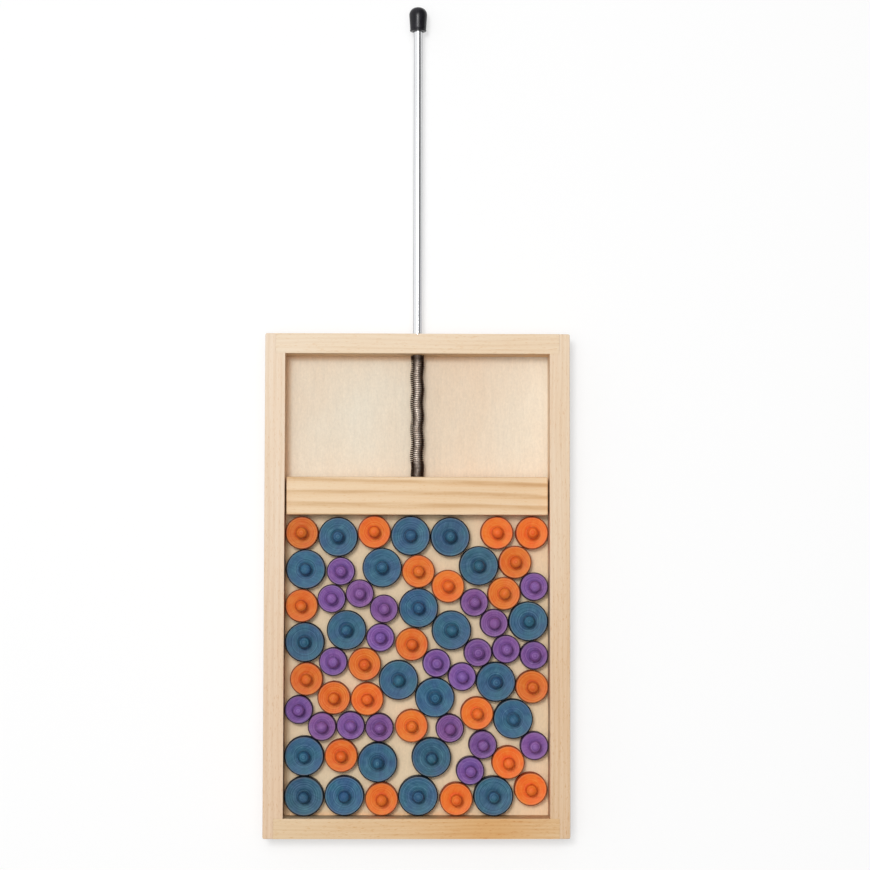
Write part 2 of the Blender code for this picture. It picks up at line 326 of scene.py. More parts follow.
def panel_material():
    """Pale plywood with a faint grain along the tray and a few specks, and painted warm bounce light
    where the discs lie.

    Painted warm shade lies along the walls, less and less of it towards the right.
    """
    material, tree, shader = new_material("pale_plywood")
    axes = object_place(tree)
    x, y, _ = axes
    cloud = noise(tree, axes, PANEL_CLOUD_SCALES, detail=5, roughness=FINER)
    vein = noise(tree, axes, VEIN_SCALES, detail=4, roughness=FINER, seed=2)
    fibre = noise(tree, axes, PANEL_FIBRE_SCALES, seed=4)
    mottle = noise(tree, axes, MOTTLE_SCALES, roughness=FINE, seed=6)

    blush = calc(tree, "SUBTRACT", cloud, BLUSH_LESS)
    blush = calc(tree, "ADD", blush, remap(tree, x, *BLUSH_COMES, 0.0, BLUSH_MORE))
    blush = calc(tree, "SUBTRACT", blush, remap(tree, x, BLUSH_GOES, IN_X, 0.0, BLUSH_FADE))
    base = mixed(tree, blush, PANEL_PALE, PANEL_WARM)
    # Painted warm bounce light under the discs
    base = mixed(tree, fall(tree, y, bar_low.y, bar_high.y), base, PANEL_DISC_BOUNCE)
    # Painted warm shade along the walls, fading towards the right
    to_side = calc(tree, "SUBTRACT", IN_X, calc(tree, "ABSOLUTE", x))
    to_end = calc(tree, "SUBTRACT", IN_Y, calc(tree, "ABSOLUTE", y))
    to_wall = calc(tree, "MULTIPLY_ADD", cloud, WALL_SHADE_DRIFT, calc(tree, "MINIMUM", to_side, to_end))
    thinning = remap(tree, x, 0.0, WALL_SHADE_END * IN_X, WALL_SHADE_SHARE, 0.0)
    wall_shaded = calc(tree, "MULTIPLY", fall(tree, to_wall, *WALL_SHADE_EDGE), thinning)
    base = mixed(tree, wall_shaded, base, WALL_SHADE)

    level = swayed(tree, 1.0, (vein, VEIN_LEVEL), (fibre, PANEL_FIBRE_LEVEL), (mottle, MOTTLE_LEVEL))
    spread = {"Vector": joined(tree, x, y, 0.0), "Scale": SPECK_SCALE, "Randomness": 1}
    spot = node(tree, "TexVoronoi", spread)
    near = remap(tree, spot.outputs["Distance"], *SPECK_EDGE, SPECK_DEPTH, 0.0)
    rare = calc(tree, "GREATER_THAN", split(tree, spot.outputs["Color"])[0], SPECK_RARITY)
    level = calc(tree, "SUBTRACT", level, calc(tree, "MULTIPLY", near, rare))
    fill(tree, shader, {
        "Base Color": shaded(tree, base, level),
        "Roughness": remap(tree, fibre, *NEARLY_ALL, *PANEL_ROUGHNESS),
        "Normal": bump(tree, fibre, *PANEL_BUMP),
        "Specular IOR Level": WOOD_SPECULAR,
    })
    return material


# Dyes: each with its colour, the levels of a disc's side (end-grain dye and painted shade) and of its
# arris (painted dark outline), its drift of hue and its knobs' hue
Dye = namedtuple("Dye", "tint side_level arris_level hue_drift knob_hue")
DYES = {
    "blue": Dye(colour(53, 95, 123), 0.6, 0.14, 0.016, 0.0),
    "orange": Dye(colour(226, 116, 44), 0.72, 0.42, 0.004, -0.005),
    "purple": Dye(colour(130, 90, 154), 0.6, 0.2, 0.011, 0.0),
}

# Dyed wood: patterns, and how much each deepens the dye, with pooled dye and painted shade round the
# neck, and end-grain dye and painted shade at the edge
BLOTCH_SCALES = (210, 210, 210)
DISC_GRAIN_SCALES = (1100, 110, 400)
PATCH_SCALES = (130, 130, 130)
PATCH_SEED = 90
TURNED_SCALE = 1500
TURNED_WOBBLE = 0.5 * MM
TURNED_SEED = 31.7
TURNED_DEPTH = 0.7
DISC_GRAIN_DEPTH = 0.5
BLOTCH_DEPTH = 0.5
POOL_AND_SHADE_DEPTH = 0.27
EDGE_DYE_AND_SHADE_DEPTH = 0.35
CROWN_DEPTH = 0.03

# Dyed wood: bands round the neck, on the knob, in from the edge and down from the face, with painted
# shade on the sides and at the edge, scuffs with a painted sheen on the rim, and the finish
POOL_AND_SHADE_IN = 0.4 * MM
POOL_AND_SHADE_OUT = 0.6 * MM
CROWN_TOP = 0.6 * MM
EDGE_DYE_AND_SHADE_BAND = (0.6 * MM, 0.2 * MM)
SCUFF_AND_SHEEN_BAND = (1.6 * MM, 0.9 * MM)
SCUFF_AND_SHEEN_DROP = (1.6 * MM, 0.6 * MM)
DISC_SIDE_SHADE_BAND = (0.95 * MM, 0.45 * MM)
DISC_SIDE_SHADE_DROP = (1.4 * MM, 0.9 * MM)
KNOB_BAND = (1 * MM, 3 * MM)
SCUFF_AND_SHEEN_SHARES = (0.02, 0.16)
SCUFF_AND_SHEEN = colour(205, 180, 160)
DYE_ROUGHNESS = (0.55, 0.42)
DYE_GRAIN_RELIEF = 0.6
DYE_BUMP = (0.35, 0.06 * MM)
DYE_SPECULAR = 0.16


def stain_material(name, radius, face_height, dye):
    """Wood dye that is deeper in the turned lines, deeper on the neck with pooled dye and painted shade,
    and round the edge with end-grain dye and painted shade.

    The dye's own colour is the object's colour, and the object's index gives each disc its own grain.
    """
    material, tree, shader = new_material(name)
    info = node(tree, "ObjectInfo")
    seed = info.outputs["Object Index"]
    axes = object_place(tree)
    x, y, z = axes
    out = distance(tree, x, y)
    blotch = noise(tree, axes, BLOTCH_SCALES, detail=3, roughness=FINE, seed=seed)
    grain = noise(tree, axes, DISC_GRAIN_SCALES, detail=3, roughness=FINE, seed=seed)
    patch = noise(tree, axes, PATCH_SCALES, seed=calc(tree, "ADD", seed, PATCH_SEED))
    wobble = calc(tree, "MULTIPLY_ADD", blotch, TURNED_WOBBLE, out)
    lines = calc(tree, "MULTIPLY_ADD", seed, TURNED_SEED, calc(tree, "MULTIPLY", wobble, TURNED_SCALE))
    turned = line_noise(tree, lines, detail=3)

    crown = face_height - DISH + KNOB_HEIGHT
    on_crown = rise(tree, z, crown - KNOB_RADIUS, crown - CROWN_TOP)
    # Pooled dye and painted shade in the cove round the neck
    neck_pool_and_shade = remap(tree, out, NECK_RADIUS + POOL_AND_SHADE_IN, COVE_OUT + POOL_AND_SHADE_OUT, POOL_AND_SHADE_DEPTH, 0.0)
    pooled_and_shaded = calc(tree, "MULTIPLY", neck_pool_and_shade, calc(tree, "SUBTRACT", 1.0, on_crown))
    # End-grain dye and a painted dark outline at the edge
    end_grain_and_outline_shade = remap(tree, out, *below(radius, EDGE_DYE_AND_SHADE_BAND), 0.0, EDGE_DYE_AND_SHADE_DEPTH)
    depth = swayed(tree, 1.0, (turned, TURNED_DEPTH), (grain, DISC_GRAIN_DEPTH), (blotch, BLOTCH_DEPTH))
    depth = calc(tree, "ADD", depth, calc(tree, "ADD", pooled_and_shaded, end_grain_and_outline_shade))
    depth = calc(tree, "MULTIPLY_ADD", on_crown, CROWN_DEPTH, depth)
    hue = remap(tree, patch, *MOST, 0.5 - dye.hue_drift, 0.5 + dye.hue_drift)
    knob = [face_height + height for height in KNOB_BAND]
    hue = calc(tree, "ADD", hue, remap(tree, z, *knob, 0.0, dye.knob_hue))
    base = node(tree, "HueSaturation", {"Hue": hue, "Color": info.outputs["Color"]}).outputs[0]
    base = deepened(tree, base, depth)

    # Scuffs and a painted sheen lighten the rim
    at_rim = rise(tree, out, *below(radius, SCUFF_AND_SHEEN_BAND))
    at_rim = calc(tree, "MULTIPLY", at_rim, rise(tree, z, *below(face_height, SCUFF_AND_SHEEN_DROP)))
    scuff_and_sheen = calc(tree, "MULTIPLY", at_rim, remap(tree, blotch, *MOST, *SCUFF_AND_SHEEN_SHARES))
    base = mixed(tree, scuff_and_sheen, base, SCUFF_AND_SHEEN)
    # Painted shade on the sides over end-grain dye, darkest at the arris as a painted dark outline
    on_shaded_side = rise(tree, out, *below(radius, DISC_SIDE_SHADE_BAND))
    level = remap(tree, z, *below(face_height, DISC_SIDE_SHADE_DROP), dye.side_level, dye.arris_level)
    base = mixed(tree, on_shaded_side, base, shaded(tree, base, level))
    relief = calc(tree, "ADD", turned, calc(tree, "MULTIPLY", grain, DYE_GRAIN_RELIEF))
    fill(tree, shader, {
        "Base Color": base,
        "Roughness": remap(tree, turned, *MOST, *DYE_ROUGHNESS),
        "Normal": bump(tree, relief, *DYE_BUMP),
        "Specular IOR Level": DYE_SPECULAR,
    })
    return material


# Steel rod
DRAWN_SCALES = (2600, 14, 2600)
STEEL_CLOUD_SCALES = (200, 60, 200)
STEEL_GREY = colour(234, 235, 237)
STEEL_BRIGHT = colour(240, 241, 243)
STEEL_OILED_SHADE = colour(148, 136, 126)
STEEL_RIM = colour(40, 40, 42)
OILED_SHADE_REACH = 4 * MM
OILED_ROUGHNESS = 0.4
STEEL_ROUGHNESS = (0.1, 0.18)
STEEL_BUMP = (0.12, 0.02 * MM)


def rod_material():
    """Bright drawn steel with fine lines along the rod, dulled by oil and painted shade where it runs in
    the spring.
    """
    material, tree, shader = new_material("bright_steel")
    axes = object_place(tree)
    drawn = noise(tree, axes, DRAWN_SCALES)
    cloud = noise(tree, axes, STEEL_CLOUD_SCALES, seed=3)
    bright = mixed(tree, cloud, STEEL_GREY, STEEL_BRIGHT)
    # Oil and painted shade where the rod runs in the spring
    oiled_and_shaded = fall(tree, axes[1], IN_Y, IN_Y + OILED_SHADE_REACH)
    shine = remap(tree, drawn, *MOST, *STEEL_ROUGHNESS)
    fill(tree, shader, {
        "Base Color": mixed(tree, oiled_and_shaded, bright, STEEL_OILED_SHADE),
        "Roughness": calc(tree, "MULTIPLY_ADD", oiled_and_shaded, OILED_ROUGHNESS, shine),
        "Normal": bump(tree, drawn, *STEEL_BUMP),
        "Metallic": 1,
        "Specular Tint": STEEL_RIM,
    })
    return material


# Spring wire: its oil, and how far up and along the spring the painted highlight on its top reaches,
# fading near the bar and into painted shade near the rail
OIL_SCALES = (420, 420, 420)
OIL_RANGE = (0.35, 0.65)
WIRE_OILED = colour(58, 41, 32)
WIRE_HIGHLIGHT = colour(214, 201, 190)
WIRE_DULL_HIGHLIGHT = colour(170, 153, 139)
HIGHLIGHT_LOW = 3.1 * MM
HIGHLIGHT_HIGH = 4.1 * MM
HIGHLIGHT_FADE_AT_BAR = (8 * MM, 11 * MM)
BAR_END_HIGHLIGHT = 0.45
RAIL_SHADE_AT = (6 * MM, 3 * MM)
RAIL_SHADE_LEVEL = 0.35
WIRE_ROUGHNESS = (0.42, 0.55)


def spring_material():
    """Dark oiled wire with a painted highlight on top, browner where the oil is thick, fading near the
    bar and into painted shade near the rail.
    """
    material, tree, shader = new_material("oiled_wire")
    axes = object_place(tree)
    oil = noise(tree, axes, OIL_SCALES, detail=3)
    # The painted highlight on top of the coils, browner where the oil is thick
    highlight = mixed(tree, rise(tree, oil, *OIL_RANGE), WIRE_HIGHLIGHT, WIRE_DULL_HIGHLIGHT)
    on_top = rise(tree, axes[2], ROD_Z + HIGHLIGHT_LOW, ROD_Z + HIGHLIGHT_HIGH)
    near_bar = [bar_high.y + reach for reach in HIGHLIGHT_FADE_AT_BAR]
    # The painted highlight fades near the bar, and painted shade lies near the rail
    from_bar = remap(tree, axes[1], *near_bar, BAR_END_HIGHLIGHT, 1.0)
    from_rail = remap(tree, axes[1], *below(IN_Y, RAIL_SHADE_AT), 1.0, RAIL_SHADE_LEVEL)
    highlight_share = calc(tree, "MULTIPLY", on_top, calc(tree, "MULTIPLY", from_bar, from_rail))
    fill(tree, shader, {
        "Base Color": mixed(tree, highlight_share, WIRE_OILED, highlight),
        "Roughness": remap(tree, oil, *MOST, *WIRE_ROUGHNESS),
        "Metallic": 1,
    })
    return material


# Rubber cap
BLOOM_SCALES = (500, 140, 500)
RUBBER_SPECK_SCALES = (2600, 2600, 2600)
BLOOM_RANGE = (0.35, 0.75)
RUBBER_DARK = colour(13, 12, 18)
RUBBER_BLOOM = colour(30, 28, 37)
RUBBER_ROUGHNESS = (0.24, 0.36)
RUBBER_BUMP = (0.15, 0.03 * MM)
RUBBER_SPECULAR = 0.3


def rubber_material():
    """Black rubber with a dull bloom and a fine grain."""
    material, tree, shader = new_material("black_rubber")
    axes = object_place(tree)
    bloom = noise(tree, axes, BLOOM_SCALES, detail=3)
    speck = noise(tree, axes, RUBBER_SPECK_SCALES, detail=1, seed=2)
    fill(tree, shader, {
        "Base Color": mixed(tree, rise(tree, bloom, *BLOOM_RANGE), RUBBER_DARK, RUBBER_BLOOM),
        "Roughness": remap(tree, bloom, *MOST, *RUBBER_ROUGHNESS),
        "Normal": bump(tree, speck, *RUBBER_BUMP),
        "Specular IOR Level": RUBBER_SPECULAR,
    })
    return material


# Meshes, with the angles in degrees over which an edge looks sharp
TURNED_ANGLE = 40
BOARD_ANGLE = 35
WIRE_ANGLE = 60
BEVEL_STEPS = 4
DRILL_SIDES = 48


def link(name, mesh):
    obj = bpy.data.objects.new(name, mesh)
    scene.collection.objects.link(obj)
    return obj


def dress(obj, body, slot, *nodes):
    """Let a piece ride on a body and hide the CAD nodes that it stands for. The slot is not used."""
    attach(obj, body)
    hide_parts(*nodes)
    return obj


def smooth(mesh, angle):
    mesh.shade_smooth()
    mesh.set_sharp_from_angle(angle=math.radians(angle))


def lathe(name, outline, sides):
    """Turn an outline of (radius, height) points, from the foot up to the crown, about the Z axis."""
    points = []
    rings = []
    for radius, height in outline:
        count = sides if radius > 0 else 1
        rings.append(range(len(points), len(points) + count))
        for step in range(count):
            angle = 2 * math.pi * step / sides
            points.append((radius * math.cos(angle), radius * math.sin(angle), height))
    faces = []
    for lower, upper in zip(rings, rings[1:]):
        for step in range(sides):
            after = (step + 1) % sides
            corners = [lower[step % len(lower)], lower[after % len(lower)]]
            corners += [upper[after % len(upper)], upper[step % len(upper)]]
            faces.append(tuple(dict.fromkeys(corners)))
    mesh = bpy.data.meshes.new(name)
    mesh.from_pydata(points, [], faces)
    smooth(mesh, TURNED_ANGLE)
    return mesh


def lay_along_y(mesh, start_y):
    """Turn a lathed mesh so that its height runs along the rod from start_y."""
    mesh.transform(Matrix.Translation((0, start_y, ROD_Z)) @ Matrix.Rotation(-math.pi / 2, 4, "X"))
    return mesh


def drill(name, radius, length, start_y):
    """A plain cylinder along the rod's axis, to cut a hole with."""
    outline = [(0, 0), (radius, 0), (radius, length), (0, length)]
    return link(name, lay_along_y(lathe(name, outline, DRILL_SIDES), start_y))


def arc(centre, radius, start, end, steps):
    """Points of an arc in (radius, height), with its angles in degrees from straight out."""
    turns = [math.radians(start + (end - start) * step / steps) for step in range(steps + 1)]
    return [(centre[0] + radius * math.cos(t), centre[1] + radius * math.sin(t)) for t in turns]


def prism(name, outline, low, high):
    """A board with a plan outline, listed anticlockwise, between two heights."""
    count = len(outline)
    points = [(x, y, z) for z in (low, high) for x, y in outline]
    faces = [tuple(reversed(range(count))), tuple(range(count, 2 * count))]
    for first in range(count):
        second = (first + 1) % count
        faces.append((first, second, second + count, first + count))
    mesh = bpy.data.meshes.new(name)
    mesh.from_pydata(points, [], faces)
    return mesh


def rectangle(low_x, low_y, high_x, high_y):
    return [(low_x, low_y), (high_x, low_y), (high_x, high_y), (low_x, high_y)]


def apply_modifiers(obj):
    bpy.context.view_layer.update()
    evaluated = obj.evaluated_get(bpy.context.evaluated_depsgraph_get())
    mesh = bpy.data.meshes.new_from_object(evaluated)
    obj.modifiers.clear()
    obj.data = mesh


def finish_board(obj, width_of, cutters=()):
    """Ease a board's edges by the width that each one gets, cut its hollows and even out its shading."""
    widths = []
    for edge in obj.data.edges:
        widths.append(width_of(*[obj.data.vertices[i].co for i in edge.vertices]))
    weights = obj.data.attributes.new("bevel_weight_edge", "FLOAT", "EDGE")
    weights.data.foreach_set("value", [width / max(widths) for width in widths])
    bevel = obj.modifiers.new("eased edges", "BEVEL")
    bevel.limit_method = "WEIGHT"
    bevel.width = max(widths)
    bevel.segments = BEVEL_STEPS
    apply_modifiers(obj)
    for cutter in cutters:
        cut = obj.modifiers.new("hollow", "BOOLEAN")
        cut.operation = "DIFFERENCE"
        cut.solver = "EXACT"
        cut.object = cutter
    apply_modifiers(obj)
    smooth(obj.data, BOARD_ANGLE)
    even = obj.modifiers.new("even shading", "WEIGHTED_NORMAL")
    even.keep_sharp = True
    apply_modifiers(obj)


# Tray: four boards lapped at the corners, hollowed below for the panel
RAIL_EASING = 0.4 * MM
SEAM_EASING = 0.06 * MM
CORNER_ROUNDING = 1.1 * MM
NEAR = 0.5 * MM
BORE_LENGTH = 0.03
BORE_LEAD = 0.009
RAIL_RING = 1.7 * MM
RAIL_CONTRAST = 0.12
RAIL_SEED_STEP = 11

# Tray: each rail's grain, the place of its pith across and up, its tones, and its painted shade on the
# sides, deep on the left and top rails
RAIL_WOODS = {
    "left": {
        "along": "Y", "pith": (-0.125, -0.05), "side_shade": 0.75,
        "start": colour(228, 199, 169), "end": colour(238, 216, 191),
    },
    "right": {
        "along": "Y", "pith": (0.131, -0.04), "side_shade": 0.0,
        "start": colour(223, 190, 154), "end": colour(236, 212, 184),
    },
    "top": {
        "along": "X", "pith": (0.19, -0.03), "side_shade": 0.75,
        "start": colour(239, 218, 191), "end": colour(236, 211, 180),
    },
    "bottom": {
        "along": "X", "pith": (-0.19, -0.02), "side_shade": 0.0,
        "start": colour(227, 199, 162), "end": colour(217, 166, 103), "end_fade": 0.5,
    },
}


def rail_edge(first, second):
    """The easing of a rail's edge: round at the tray's corners, tight in the lapped seams."""
    upright = abs(first.z - second.z) > NEAR
    if all(abs(abs(end.x) - LAP_X) < NEAR for end in (first, second)):
        return SEAM_EASING
    if all(abs(abs(end.y) - IN_Y) < NEAR and abs(end.x) > IN_X - NEAR for end in (first, second)):
        return SEAM_EASING
    if upright and abs(first.x) > OUT_X - NEAR:
        return CORNER_ROUNDING
    return RAIL_EASING


def rail_outlines():
    """Each rail from above: the side rails are notched where the end rails lap into them."""
    lap_in = LAP_X - SEAM_GAP
    lap_out = LAP_X + SEAM_GAP
    shoulder = IN_Y - SEAM_GAP
    right = [
        (OUT_X, -OUT_Y), (OUT_X, OUT_Y), (lap_out, OUT_Y), (lap_out, shoulder), (IN_X, shoulder),
        (IN_X, -shoulder), (lap_out, -shoulder), (lap_out, -OUT_Y),
    ]
    return {
        "left": [(-x, y) for x, y in reversed(right)],
        "right": right,
        "top": rectangle(-lap_in, IN_Y, lap_in, OUT_Y),
        "bottom": rectangle(-lap_in, -OUT_Y, lap_in, -IN_Y),
    }


def make_tray():
    pocket_outline = rectangle(panel_low.x - BORE_GAP, panel_low.y - BORE_GAP,
                               panel_high.x + BORE_GAP, panel_high.y + BORE_GAP)
    pocket = link("pocket", prism("pocket", pocket_outline, -FLOOR_Z, FLOOR_Z + SEAM_GAP))
    bore = drill("bore", ROD_RADIUS + BORE_GAP, BORE_LENGTH, IN_Y - BORE_LEAD)
    for number, (name, outline) in enumerate(rail_outlines().items()):
        board = link(name + "_rail_board", prism(name + "_rail_board", outline, 0, RAIL_TOP))
        finish_board(board, rail_edge, [pocket, bore] if name == "top" else [pocket])
        wood = RAIL_WOODS[name]
        reach = OUT_X if wood["along"] == "X" else OUT_Y
        finish = wood_material(name + "_rail_wood", reach=reach, top=RAIL_TOP, ring=RAIL_RING,
                               contrast=RAIL_CONTRAST, seed=number * RAIL_SEED_STEP, **wood)
        board.data.materials.append(finish)
        dress(board, "tray", "frame_wood", name + "_rail")
    for cutter in (pocket, bore):
        bpy.data.objects.remove(cutter)
    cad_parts["base_panel"].material_slots[0].material = panel_material()


# Press bar: its grain slants across it, and one ring lies where the dark line shows on its top
BAR_ROUNDING = 0.9 * MM
SOCKET_LEAD = 0.01
BAR_RING = 6.5 * MM
BAR_SLANT = 0.0198
DARK_LINE_Y = 0.0567
PITH_BEFORE = 0.07
PITH_UNDER = 0.02
BAR_CONTRAST = 0.46
BAR_FLECKS = 0.4
# Painted shade on the bar's sides
BAR_SIDE_SHADE = 0.3
BAR_SEED = 61
BAR_PALE = colour(237, 208, 171)
BAR_WARM = colour(235, 203, 164)


def make_bar():
    outline = rectangle(bar_low.x, bar_low.y, bar_high.x, bar_high.y)
    bar = link("press_bar_board", prism("press_bar_board", outline, FLOOR_Z + REST_GAP, bar_high.z))
    depth = bar_high.y - rod_low.y
    socket = drill("socket", ROD_RADIUS + SEAM_GAP, depth + SOCKET_LEAD, rod_low.y - SEAM_GAP)
    finish_board(bar, lambda first, second: BAR_ROUNDING, [socket])
    bpy.data.objects.remove(socket)
    pith = (bar_low.y - PITH_BEFORE, ROD_Z - PITH_UNDER)
    to_line = math.hypot(DARK_LINE_Y - pith[0], bar_high.z - pith[1])
    to_line += WOOD_DRIFT / 2 + BAR_SLANT * bar_low.x
    phase = DARK_IN_RING - to_line / BAR_RING
    finish = wood_material("press_bar_pine", along="X", reach=bar_high.x, top=bar_high.z, pith=pith,
                           ring=BAR_RING, contrast=BAR_CONTRAST, start=BAR_PALE, end=BAR_WARM,
                           side_shade=BAR_SIDE_SHADE, slant=BAR_SLANT, phase=phase, flecks=BAR_FLECKS,
                           seed=BAR_SEED)
    bar.data.materials.append(finish)
    dress(bar, "plunger", "bar_wood", "press_bar")


# Pull rod
ROD_CHAMFER = 0.5 * MM
ROD_SIDES = 64
ROD_STEPS = 12


def make_rod():
    length = rod_high.y - rod_low.y
    inner = ROD_RADIUS - ROD_CHAMFER
    outline = [(0, 0), (inner, 0), (ROD_RADIUS, ROD_CHAMFER)]
    outline += [(ROD_RADIUS, length * step / ROD_STEPS) for step in range(1, ROD_STEPS)]
    outline += [(ROD_RADIUS, length - ROD_CHAMFER), (inner, length), (0, length)]
    rod = link("pull_rod_bar", lay_along_y(lathe("pull_rod_bar", outline, ROD_SIDES), rod_low.y))
    rod.data.materials.append(rod_material())
    dress(rod, "plunger", "rod_steel", "pull_rod")


# Rod cap, whose sleeve widens by shares of its radius at shares of its length
CAP_SIDES = 64
CAP_WALL = 3.5 * MM
CAP_LIP = 0.5 * MM
CAP_BEAD = 0.6 * MM
BEAD_STEPS = 8
BEAD_TURN = (-90, 60)
BEAD_OUT = 0.12 * MM
BEAD_HOLLOW = 0.06 * MM
BEAD_HEIGHT = 2.2
CAP_NECK = 0.9
CAP_SLEEVE = ((0.915, 0.2), (0.94, 0.35), (0.97, 0.5), (0.99, 0.6))
CAP_CROWN = 0.68
CROWN_STEPS = 12
CROWN_FULLNESS = 0.9


def make_cap():
    """A soft cap with a domed crown, a slow taper and a small bead round its mouth."""
    length = cap_high.y - cap_low.y
    radius = (cap_high.x - cap_low.x) / 2
    mouth = ROD_RADIUS + SEAM_GAP
    neck = CAP_NECK * radius
    outline = [(0, length - CAP_WALL), (mouth, length - CAP_WALL)]
    outline += [(mouth, CAP_LIP), (mouth + CAP_LIP, 0.0)]
    outline += arc((neck - CAP_BEAD + BEAD_OUT, CAP_BEAD), CAP_BEAD, *BEAD_TURN, BEAD_STEPS)
    outline.append((neck - BEAD_HOLLOW, BEAD_HEIGHT * CAP_BEAD))
    outline += [(wide * radius, high * length) for wide, high in CAP_SLEEVE]
    crown = CAP_CROWN * length
    for step in range(CROWN_STEPS + 1):
        turn = math.pi / 2 * step / CROWN_STEPS
        wide = radius * math.cos(turn) ** CROWN_FULLNESS
        outline.append((wide, crown + (length - crown) * math.sin(turn)))
    outline[-1] = (0, length)
    cap = link("rod_cap_grip", lay_along_y(lathe("rod_cap_grip", outline, CAP_SIDES), cap_low.y))
    cap.data.materials.append(rubber_material())
    dress(cap, "plunger", "cap_rubber", "rod_cap")


# Spring: coils that lie close at both ends, and a slow sway from side to side
COILS = 64
CLOSED_AT_BAR = 11
CLOSED_AT_RAIL = 3
WIRE = 0.8 * MM
CLOSED_PITCH = 1.04 * WIRE
COIL_RADIUS = 3.72 * MM
SWAY = 0.38 * MM
SWAY_WAVE = 16 * MM
SWAY_START = -0.511
SWAY_FADE = 10
SWAY_UP = 0.3
STEPS_PER_COIL = 18
WIRE_SIDES = 8


def coil_heights(length):
    """How far along the spring each step lies: close coils at both ends, an even pitch between them."""
    closed = []
    for step in range(COILS * STEPS_PER_COIL):
        turn = step / STEPS_PER_COIL
        closed.append(turn < CLOSED_AT_BAR or turn > COILS - CLOSED_AT_RAIL)
    closed_steps = sum(closed)
    closed_step = CLOSED_PITCH / STEPS_PER_COIL
    open_step = (length - closed_steps * closed_step) / (len(closed) - closed_steps)
    heights = [0.0]
    for is_closed in closed:
        heights.append(heights[-1] + (closed_step if is_closed else open_step))
    return heights


def spring_path():
    start = bar_high.y + WIRE / 2 + REST_GAP
    end = IN_Y - WIRE / 2 - REST_GAP
    points = []
    for step, height in enumerate(coil_heights(end - start)):
        turn = 2 * math.pi * step / STEPS_PER_COIL
        share = height / (end - start)
        wave = 2 * math.pi * (IN_Y - start - height) / SWAY_WAVE + SWAY_START
        sway = SWAY * min(1, SWAY_FADE * share, SWAY_FADE * (1 - share))
        x = COIL_RADIUS * math.cos(turn) + sway * math.sin(wave)
        z = ROD_Z + COIL_RADIUS * math.sin(turn) + SWAY_UP * sway * math.cos(wave)
        points.append(Vector((x, start + height, z)))
    return points


def make_spring():
    path = spring_path()
    points = []
    for step, centre in enumerate(path):
        ahead = path[min(step + 1, len(path) - 1)] - path[max(step - 1, 0)]
        turn = 2 * math.pi * step / STEPS_PER_COIL
        outward = Vector((math.cos(turn), 0, math.sin(turn)))
        outward = (outward - ahead * outward.dot(ahead) / ahead.length_squared).normalized()
        sideways = ahead.normalized().cross(outward)
        for side in range(WIRE_SIDES):
            angle = 2 * math.pi * side / WIRE_SIDES
            points.append(centre + (outward * math.cos(angle) + sideways * math.sin(angle)) * WIRE / 2)
    faces = [tuple(reversed(range(WIRE_SIDES)))]
    for step in range(len(path) - 1):
        for side in range(WIRE_SIDES):
            after = (side + 1) % WIRE_SIDES
            here = step * WIRE_SIDES
            there = here + WIRE_SIDES
            faces.append((here + side, here + after, there + after, there + side))
    faces.append(tuple(range(len(points) - WIRE_SIDES, len(points))))
    mesh = bpy.data.meshes.new("spring_coil")
    mesh.from_pydata(points, [], faces)
    smooth(mesh, WIRE_ANGLE)
    mesh.materials.append(spring_material())
    spring = dress(link("spring_coil", mesh), "tray", "spring_steel", "spring")
    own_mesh(spring)


# Discs: the foot, the rim, the dished face with its turned lines, the cove, the neck and the knob
DISC_SIDES = 64
DISC_SPARE = 0.1 * MM
FOOT_MIDDLE = 0.5
FOOT_FLAT = 0.8 * MM
FOOT_EASING = 0.6 * MM
FOOT_TURN = (-75, 0)
FOOT_STEPS = 4
SIDE_STEPS = (0.4, 0.75)
RIM_FILLET = 0.9 * MM
RIM_TURN = (0, 82)
RIM_STEPS = 6
DISH = 0.8 * MM
DISH_CURVE = 0.8
TURNED_LINE = 0.03 * MM
LINE_SPACING = 0.28 * MM
COVE_OUT = 4.9 * MM
COVE_DIP = 0.25 * MM
COVE_STEPS = 6
NECK_RADIUS = 2.4 * MM
NECK_FOOT = 0.15 * MM
NECK_SHAPE = ((0.0, 1.0 * MM), (-0.12 * MM, 2.4 * MM), (-0.1 * MM, 4.0 * MM))
KNOB_RADIUS = 3.6 * MM
KNOB_HEIGHT = 11.5 * MM
KNOB_STEPS = 18

# Discs: how low and how close a CAD node's crowns may lie, and the spread of a dye's shades
CROWN_DROP = 0.1 * MM
CROWN_APART = MM
SHADE_LEVELS = (0.93, 1.1)
SHADE_WARMTH = (-0.06, 0.06)


